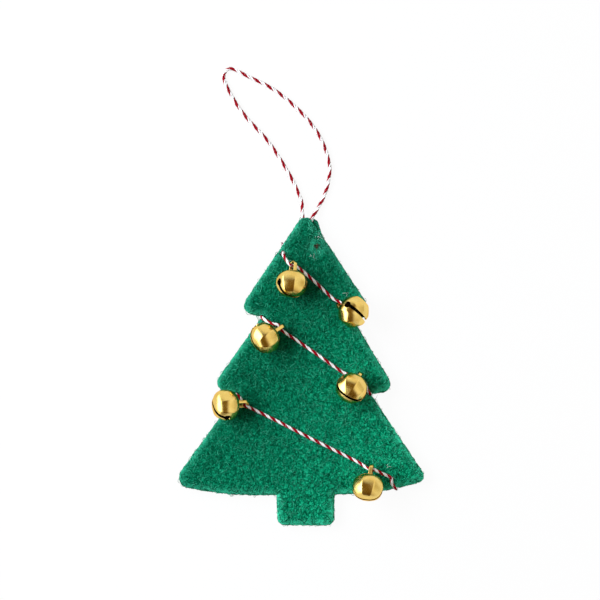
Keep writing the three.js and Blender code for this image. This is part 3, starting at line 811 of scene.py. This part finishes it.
def felt_layer(name, node, seed):
    """A layer of the felt as packed, with the soft edges and lumpy faces of real felt."""
    piece = bpy.data.objects.new(name, frame["nodes"][node].data.copy())
    bpy.context.scene.collection.objects.link(piece)
    weld = piece.modifiers.new("weld", "WELD")
    weld.merge_threshold = FELT_WELD * MM
    remesh = piece.modifiers.new("remesh", "REMESH")
    remesh.mode = "VOXEL"
    remesh.voxel_size = FELT_VOXEL * MM
    smooth = piece.modifiers.new("smooth", "SMOOTH")
    smooth.iterations = FELT_SMOOTHING
    applied(piece)
    mesh = piece.data
    points = mesh_points(mesh)
    normals = np.empty(len(mesh.vertices) * 3)
    mesh.vertex_normals.foreach_get("vector", normals)
    normals = normals.reshape(-1, 3)
    middle = mid_height(node)
    outward = 1 if middle > FELT_LAYER else -1
    depth = edge_depths(node, points)
    slope = np.clip(1 - depth / EDGE_SLOPE, 0, 1) ** EDGE_POWER * EDGE_DROP
    outer = np.clip((points[:, 2] - middle) * outward / (FELT_LAYER / 2), 0, 1)
    points[:, 2] -= outward * slope * outer
    shift = seed * Vector(LAYER_SHIFT)
    stretched = points / LUMP_STRETCH
    lumps = np.array([noise.noise(Vector(p) / LUMP_SIZE + shift) for p in stretched])
    grain = np.array([noise.noise(Vector(p) / GRAIN_SIZE + shift) for p in points])
    inner = np.clip((FELT_LAYER - points[:, 2]) * outward + SEAM_RISE, 0, 1)
    height = (lumps * LUMP_HEIGHT + grain * GRAIN_HEIGHT) * (1 - inner)
    points += normals * height[:, None]
    mesh.vertices.foreach_set("co", (points * MM).ravel())
    # painted sheen: how near each point is to the cut edge, which paints the felt paler there
    edge = mesh.attributes.new("edge", "FLOAT", "POINT")
    edge.data.foreach_set("value", np.clip(1 - depth / EDGE_SHEEN_REACH, 0, 1).astype(np.float32))
    mesh.materials.clear()
    mesh.materials.append(FELT)
    mesh.shade_smooth()
    mesh.update()
    return settle(piece, "tree", "felt", node)


def mid_height(node):
    return sum(corner[2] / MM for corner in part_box(node)) / 2


def edge_depths(node, points):
    """How far each point is from the cut edge of a layer, which its upright faces make at mid height."""
    mesh = frame["nodes"][node].data
    middle = mid_height(node)
    upright = [
        tuple(face.vertices)
        for face in mesh.polygons
        if abs(face.normal.z) < WALL_LEAN and abs(face.center.z / MM - middle) < WALL_REACH
    ]
    walls = BVHTree.FromPolygons(mesh_points(mesh).tolist(), upright)
    return np.array([walls.find_nearest(Vector(p))[3] for p in points])


def felt_fuzz(name, node, felt, count, seed):
    """Loose fibres of the felt, most of them lying along its surface, painted paler at its edges as a
    painted sheen.
    """
    random = np.random.default_rng(seed)

    def outside(middle, normal):
        flatness = np.abs(normal[:, 2])
        inner = (np.abs(middle[:, 2] - FELT_LAYER) < FUZZ_SEAM) & (flatness > FUZZ_SEAM_SLOPE)
        return np.where(inner, 0, np.where(flatness < FUZZ_SLOPE, FUZZ_EDGE_SHARE, 1))

    starts, normals = scattered(felt.data, count, random, outside)
    standing = random.random(count) < FUZZ_STANDING_SHARE
    high, low = random.uniform(*FUZZ_STANDING_LIFTS, count), random.uniform(*FUZZ_LIFTS, count)
    lines = curling_lines(
        starts, normals, random.uniform(*FUZZ_LENGTHS, count), random.normal(0, FUZZ_TURN, count),
        np.where(standing, high, low), FUZZ_STEPS, random, surface_of(felt.data),
    )
    # painted sheen: loose fibres near the cut edges are painted paler
    wear_and_painted_sheen = np.clip(1 - edge_depths(node, starts) / EDGE_SHEEN_REACH, 0, 1)
    shades = random.beta(*FUZZ_SHADES, count) + FUZZ_EDGE_SHEEN * wear_and_painted_sheen
    thin, more = FUZZ_THICKNESS_SHARES
    radii = random.uniform(*FUZZ_RADII, count) * (thin + more * shades)
    return settle(strands(name, above_ground(lines), radii, shades, FELT_FUZZ), "tree", "felt")


def make_felt():
    front = felt_layer("felt_front", "felt_front_layer", 1)
    back = felt_layer("felt_back", "felt_back_layer", 2)
    front_fuzz = felt_fuzz("felt_front_fuzz", "felt_front_layer", front, FUZZ_FRONT_COUNT, seed=41)
    back_fuzz = felt_fuzz("felt_back_fuzz", "felt_back_layer", back, FUZZ_BACK_COUNT, seed=42)
    make_pale_flecks(front)


# Bells

def shell_profile(inset):
    """Half of a shell's section, as points along and out from the axis."""
    half_height, radius = BELL_HALF_HEIGHT - inset, BELL_RADIUS - inset
    line = smooth_line([(along * half_height, out * radius, 0) for out, along in SHELL_SHARES], SHELL_STEP)
    line = line[:, :2]
    line[[0, -1], 1] = 0
    return line


def shell_body(inset, dents):
    """The solid of revolution, a little dented and with flats towards the slotted end."""
    line = shell_profile(inset)
    inner = line[1:-1]
    angles = angles_round(SHELL_SIDES)
    along = np.repeat(inner[:, :1], SHELL_SIDES, axis=1)
    out = np.repeat(inner[:, 1:], SHELL_SIDES, axis=1)
    folded = np.clip(FOLD_RISE * along / BELL_HALF_HEIGHT + FOLD_START, 0, 1)
    half = math.pi / FACETS
    creased = math.cos(half) / np.cos((angles + dents) % (2 * half) - half)
    out = out * (1 + FACET_SHARE * folded * (creased - creased.max() + CREASE_STAND))
    y, z = out * np.cos(angles), out * np.sin(angles)
    points = np.stack([along, y, z], -1).reshape(-1, 3)
    shift = Vector((dents * DENT_SHIFT, 0, 0))
    push = np.array([noise.noise(Vector(p) / DENT_SIZE + shift) for p in points]) * DENT_DEPTH
    points = points + unit(points) * push[:, None]
    points = np.vstack([points, [(line[0, 0], 0, 0), (line[-1, 0], 0, 0)]])
    quads, fans = tube_faces(len(inner), SHELL_SIDES)
    return new_piece("shell_body", points + (BELL_REACH, 0, 0), [quads, fans], [BRASS])


def prism(outline, low, high):
    """An outline of (y, z) points drawn out along X."""
    rows = [[(x, y, z) for y, z in outline] for x in (low, high)]
    count = len(outline)
    side = np.arange(count)
    walls = np.stack([side, (side + 1) % count, (side + 1) % count + count, side + count], -1)
    caps = [np.arange(count)[None, ::-1], np.arange(count, 2 * count)[None]]
    return new_piece("cutter", np.vstack(rows), [walls, *caps], [BRASS])


def slot_cutter():
    """The bow-tie slit across the slotted end, with its waist eased by a curve."""
    reach = BELL_RADIUS + CUT_OVERRUN
    y = np.linspace(-reach, reach, SLOT_STEPS)
    half = np.hypot(SLOT_WAIST / 2, (SLOT_MOUTH - SLOT_WAIST) / 2 * np.abs(y) / reach)
    outline = [*zip(y, -half), *zip(y[::-1], half[::-1])]
    return prism(outline, BELL_REACH + SLOT_HOLE_DROP, BELL_REACH + BELL_HALF_HEIGHT + 2 * CUT_OVERRUN)


def hole_cutter():
    reach = BELL_RADIUS + CUT_OVERRUN
    radius = SLOT_HOLE / 2
    outline = [(radius * math.cos(a), radius * math.sin(a)) for a in angles_round(HOLE_SIDES)]
    piece = prism(outline, -reach, reach)
    place = Matrix.Translation(((BELL_REACH + SLOT_HOLE_DROP) * MM, 0, 0))
    piece.data.transform(place @ Matrix.Rotation(math.pi / 2, 4, "Z"))
    return piece


def leg_cutter(side):
    half_band = EYELET_BAND / 2 + LEG_FIT
    half_strip = EYELET_STRIP / 2 + LEG_FIT
    middle = side * (EYELET_HOLE + EYELET_STRIP) / 2
    near, far = middle - half_strip, middle + half_strip
    outline = [(-half_band, near), (half_band, near), (half_band, far), (-half_band, far)]
    return prism(outline, EYELET_STAND - LEG_OVERRUN, EYELET_STAND + BELL_WALL + LEG_OVERRUN)


def cut(piece, cutters):
    for cutter in cutters:
        tool = piece.modifiers.new("cut", "BOOLEAN")
        tool.operation = "DIFFERENCE"
        tool.solver = "MANIFOLD"
        tool.object = cutter
    applied(piece)
    for cutter in cutters:
        bpy.data.objects.remove(cutter)
    return piece


def bell_shell(name, slot_turn, dents):
    slit, holes = slot_cutter(), hole_cutter()
    turn = Matrix.Rotation(math.radians(slot_turn), 4, "X")
    slit.data.transform(turn)
    holes.data.transform(turn)
    shell = shell_body(0, dents)
    cut(shell, [shell_body(BELL_WALL, dents), slit, holes, leg_cutter(1), leg_cutter(-1)])
    shell.name = name
    shell.data.materials.clear()
    shell.data.materials.append(BRASS)
    shell.data.materials.append(SHADED_INSIDE_BRASS)
    # painted shade: the faces of the shell's inside get the near-black finish
    for face in shell.data.polygons:
        inward = (Vector((BELL_REACH * MM, 0, 0)) - face.center).normalized()
        face.material_index = int(face.normal.dot(inward) > INSIDE_FACING)
    shell.data.set_sharp_from_angle(angle=math.radians(SHARP_ANGLE))
    return shell


def bell_eyelet(name):
    """A strip bent to an arch round the twine, its edges rounded, with its two legs in the crown."""
    radius = (EYELET_HOLE + EYELET_STRIP) / 2
    end = EYELET_STAND + BELL_WALL + EYELET_TAIL
    bend = np.linspace(math.pi / 2, 3 * math.pi / 2, EYELET_BEND_STEPS)
    arch = np.stack([radius * np.cos(bend), np.zeros(EYELET_BEND_STEPS), radius * np.sin(bend)], axis=1)
    line = respaced(np.vstack([[(end, 0, radius)], arch, [(end, 0, -radius)]]), EYELET_STEP)
    tangents = unit(np.gradient(line, axis=0))
    across = np.cross(tangents, (0.0, 1.0, 0.0))
    angles = angles_round(EYELET_SIDES)
    u = np.sign(np.cos(angles)) * np.abs(np.cos(angles)) ** EYELET_EDGE_POWER * EYELET_STRIP / 2
    v = np.sign(np.sin(angles)) * np.abs(np.sin(angles)) ** EYELET_EDGE_POWER * EYELET_BAND / 2
    section = np.repeat(np.stack([u, v], -1)[None], len(line), axis=0)
    points = tube(line, across, np.repeat([(0.0, 1.0, 0.0)], len(line), axis=0), section)
    quads, fans = tube_faces(len(line), EYELET_SIDES)
    return new_piece(name, points, [quads[:, ::-1], fans[:, ::-1]], [BRASS])


def bell_pellet(name, node, seed):
    """The loose steel pellet: a ball that is a little out of round, with small flats."""
    lo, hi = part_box(node)
    middle = np.array((lo + hi) / 2) / MM
    polar = np.linspace(0, math.pi, PELLET_ROWS + 2)[1:-1]
    around = angles_round(PELLET_SIDES)
    points = np.stack([
        np.sin(polar)[:, None] * np.cos(around), np.sin(polar)[:, None] * np.sin(around),
        np.repeat(np.cos(polar)[:, None], PELLET_SIDES, axis=1),
    ], -1).reshape(-1, 3)
    points = np.vstack([points, [(0, 0, 1), (0, 0, -1)]])
    shift = Vector((seed, 0, 0))
    bumps = np.array([noise.noise(Vector(p) / PELLET_BUMP_SIZE + shift) for p in points])
    radius = PELLET_RADIUS * np.minimum(1, PELLET_ROUND_SHARE + PELLET_BUMP_SHARE * bumps)
    quads, fans = tube_faces(PELLET_ROWS, PELLET_SIDES)
    return new_piece(name, points * radius[:, None] + middle, [quads[:, ::-1], fans[:, ::-1]], [STEEL])


def make_bell(number, heading, lean, roll, slot_turn, dents):
    name = f"bell_{number + 1}"
    pose = (
        Matrix.Translation(Vector(eyelet_of(number)) * MM)
        @ Matrix.Rotation(math.radians(heading), 4, "Z")
        @ Matrix.Rotation(math.radians(-lean), 4, "Y")
        @ Matrix.Rotation(math.radians(roll), 4, "X")
    )
    shell = bell_shell(f"{name}_brass", slot_turn, dents)
    eyelet = bell_eyelet(f"{name}_strip")
    for piece in (shell, eyelet):
        piece.data.transform(pose)
    settle(shell, name, "brass", f"{name}_shell")
    settle(eyelet, name, "brass", f"{name}_eyelet")
    pellet = bell_pellet(f"{name}_ball", f"{name}_pellet", dents)
    settle(pellet, f"pellet_{number + 1}", "steel", f"{name}_pellet")


# Floor, light and world

def make_floor():
    reach = FLOOR_SIDE / 2 / MM
    corners = [(-reach, -reach, 0), (reach, -reach, 0), (reach, reach, 0), (-reach, reach, 0)]
    floor = new_piece("floor", corners, [np.arange(4)[None]], [floor_finish()])
    floor.location = FLOOR_MIDDLE


def floor_finish():
    """Pale, and for the camera and reflections mostly white by itself, so that its shadows stay soft."""
    finish = Finish("floor", roughness=0.9, base_color=(0.86, 0.86, 0.86, 1))
    rays = finish.add("LightPath").outputs
    seen = rays["Is Camera Ray"]
    for other in (rays["Is Glossy Ray"], rays["Is Transmission Ray"]):
        seen = finish.add("Math", {0: seen, 1: other}, operation="MAXIMUM").outputs[0]
    share = finish.add("Math", {0: seen, 1: FLOOR_GLOW_SHARE}, operation="MULTIPLY")
    glow = finish.add("Emission", {"Color": (1, 1, 1, 1), "Strength": 1.0})
    both = finish.add("MixShader", {0: share.outputs[0], 1: finish.shader.outputs[0], 2: glow.outputs[0]})
    finish.tree.links.new(both.outputs[0], finish.tree.nodes["Material Output"].inputs["Surface"])
    return finish.material


def area_light(name, place, target, size, power, colour):
    """A lamp that doesn't show in reflections."""
    light = bpy.data.lights.new(name, "AREA")
    light.shape = "RECTANGLE"
    light.size, light.size_y = size
    light.energy = power
    light.color = colour
    lamp = bpy.data.objects.new(name, light)
    lamp.location = place
    lamp.rotation_euler = (Vector(target) - Vector(place)).to_track_quat("-Z", "Y").to_euler()
    lamp.visible_glossy = False
    bpy.context.scene.collection.objects.link(lamp)


def make_world():
    """White to the camera. As a light it is a pale room with a dim ceiling, the brass's dark middle."""
    world = bpy.data.worlds.new("studio")
    world.use_nodes = True
    bpy.context.scene.world = world
    world.node_tree.nodes.clear()
    nodes = Nodes(world.node_tree)

    def graded(along, stops):
        """A colour by the share of the way across the room, from 0 at one wall to 1 at the other."""
        share = nodes.add("Math", {0: along, 1: 0.5, 2: 0.5}, operation="MULTIPLY_ADD")
        return nodes.ramp(share.outputs[0], *stops)

    sides = nodes.add("SeparateXYZ", {"Vector": nodes.add("TexCoord").outputs["Generated"]})
    across = graded(sides.outputs["X"], ROOM_ACROSS)
    along = graded(sides.outputs["Y"], ROOM_ALONG)
    both = nodes.mix(1.0, across, along, "MULTIPLY")
    back = graded(sides.outputs["Y"], ROOM_BACK)
    both = nodes.mix(1.0, both, back, "LIGHTEN")
    rays = nodes.add("LightPath").outputs
    gloss = {0: rays["Is Glossy Ray"], 1: ROOM_GLOSS - ROOM_FILL, 2: ROOM_FILL}
    strength = nodes.add("Math", gloss, operation="MULTIPLY_ADD")
    room = nodes.add("Background", {"Color": both, "Strength": strength.outputs[0]})
    white = nodes.add("Background", {"Color": (1, 1, 1, 1), "Strength": 1.0})
    seen = nodes.add("MixShader", {0: rays["Is Camera Ray"], 1: room.outputs[0], 2: white.outputs[0]})
    nodes.add("OutputWorld", {"Surface": seen.outputs[0]})


def make_studio():
    make_floor()
    make_world()
    area_light("key", **KEY_LAMP)
    area_light("rim", **RIM_LAMP)
    bpy.context.scene.view_settings.view_transform = "Standard"


make_camera()
make_loop()
make_knot()
make_garland()
make_felt()
for number, details in enumerate(BELLS):
    make_bell(number, *details)
make_studio()
